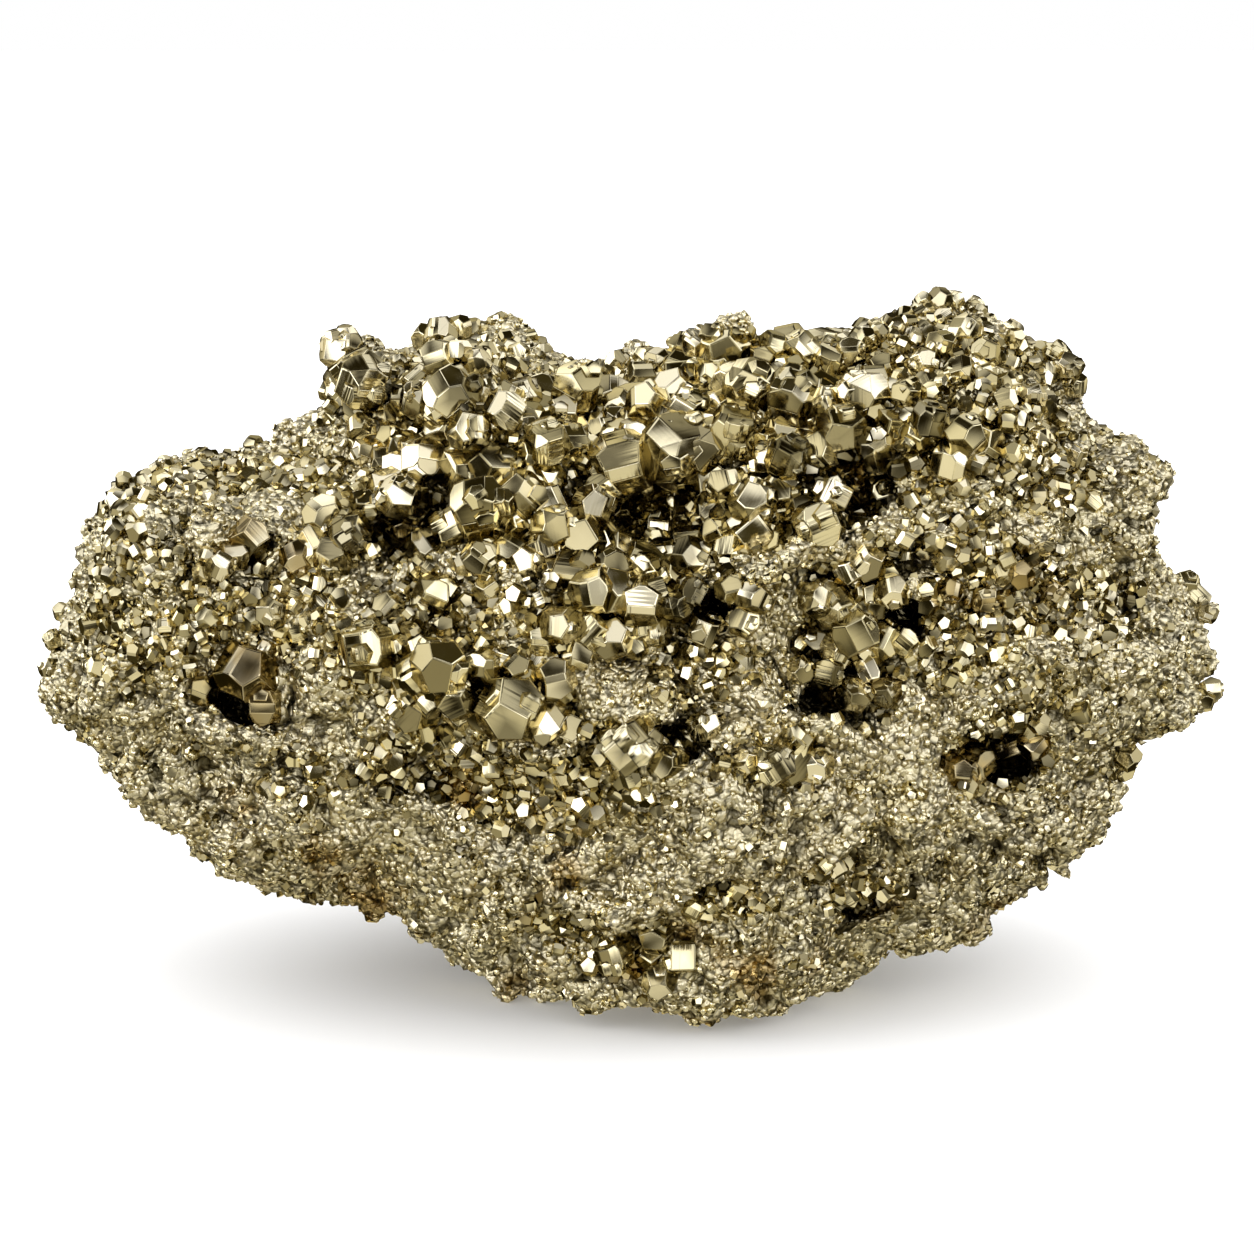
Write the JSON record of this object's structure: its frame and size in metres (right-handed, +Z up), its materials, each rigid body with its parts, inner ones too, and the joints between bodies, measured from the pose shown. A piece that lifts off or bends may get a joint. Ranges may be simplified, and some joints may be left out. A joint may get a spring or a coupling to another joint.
{
  "type": "pyrite specimen",
  "caption": "Natural lump of intergrown pyrite crystals, wide and craggy, with faceted crystals, fine crust and open pockets, that stands on a small flat underside.",
  "frame": {"origin": "on the surface that the lump stands on, under the middle of its box", "axes": "+X along the width to the viewer's right, +Y to the back, +Z up"},
  "size_m": [0.1098, 0.0778, 0.0628],
  "materials": {
    "pyrite": "pale brass-yellow mineral with a bright metallic lustre on its crystal faces"
  },
  "bodies": {
    "root": {"pyrite_cluster": "pyrite"}
  },
  "joints": []
}
